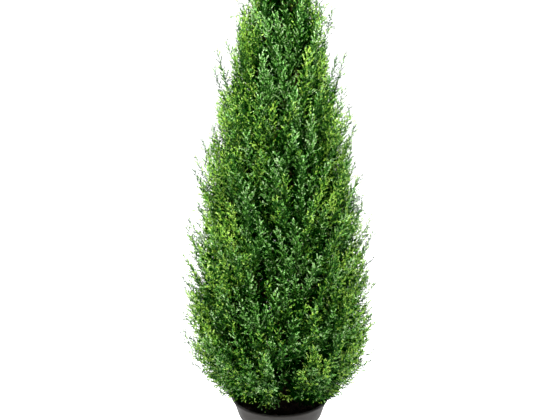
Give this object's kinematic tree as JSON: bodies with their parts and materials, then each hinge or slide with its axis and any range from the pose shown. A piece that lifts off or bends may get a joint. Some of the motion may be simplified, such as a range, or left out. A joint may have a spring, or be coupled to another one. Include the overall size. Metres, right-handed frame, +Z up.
{
  "type": "potted arborvitae",
  "caption": "Young evergreen conifer with a dense flame-shaped crown of feathery sprays on a leaning trunk and ascending boughs, growing in soil in a round tapered nursery pot.",
  "frame": {"origin": "centre of the pot's flat underside", "axes": "+Z up along the pot's axis, -Y the side the picture is taken from, +X to its right"},
  "size_m": [0.4717, 0.4586, 1.345],
  "materials": {
    "pot_plastic": "satin taupe outside, black inside and on the lip",
    "soil": "damp and crumbly",
    "bark": "thin stringy bark",
    "foliage": "fresh green leaves with a slight gloss"
  },
  "bodies": {
    "root": {"pot": "pot_plastic", "soil": "soil", "trunk": "bark", "bough_1_1": "bark", "bough_1_2": "bark", "bough_1_3": "bark", "bough_1_4": "bark", "bough_1_5": "bark", "bough_1_6": "bark", "bough_2_1": "bark", "bough_2_2": "bark", "bough_2_3": "bark", "bough_2_4": "bark", "bough_2_5": "bark", "bough_2_6": "bark", "bough_3_1": "bark", "bough_3_2": "bark", "bough_3_3": "bark", "bough_3_4": "bark", "bough_3_5": "bark", "bough_4_1": "bark", "bough_4_2": "bark", "bough_4_3": "bark", "bough_4_4": "bark", "bough_4_5": "bark", "foliage_1_1": "foliage", "foliage_1_2": "foliage", "foliage_1_3": "foliage", "foliage_1_4": "foliage", "foliage_1_5": "foliage", "foliage_1_6": "foliage", "foliage_2_1": "foliage", "foliage_2_2": "foliage", "foliage_2_3": "foliage", "foliage_2_4": "foliage", "foliage_2_5": "foliage", "foliage_2_6": "foliage", "foliage_3_1": "foliage", "foliage_3_2": "foliage", "foliage_3_3": "foliage", "foliage_3_4": "foliage", "foliage_3_5": "foliage", "foliage_4_1": "foliage", "foliage_4_2": "foliage", "foliage_4_3": "foliage", "foliage_4_4": "foliage", "foliage_4_5": "foliage", "foliage_5_1": "foliage", "foliage_5_2": "foliage", "foliage_5_3": "foliage", "foliage_5_4": "foliage", "foliage_6_1": "foliage", "foliage_6_2": "foliage", "foliage_6_3": "foliage", "foliage_7_1": "foliage", "foliage_7_2": "foliage", "foliage_7_3": "foliage", "foliage_top": "foliage"}
  },
  "joints": []
}
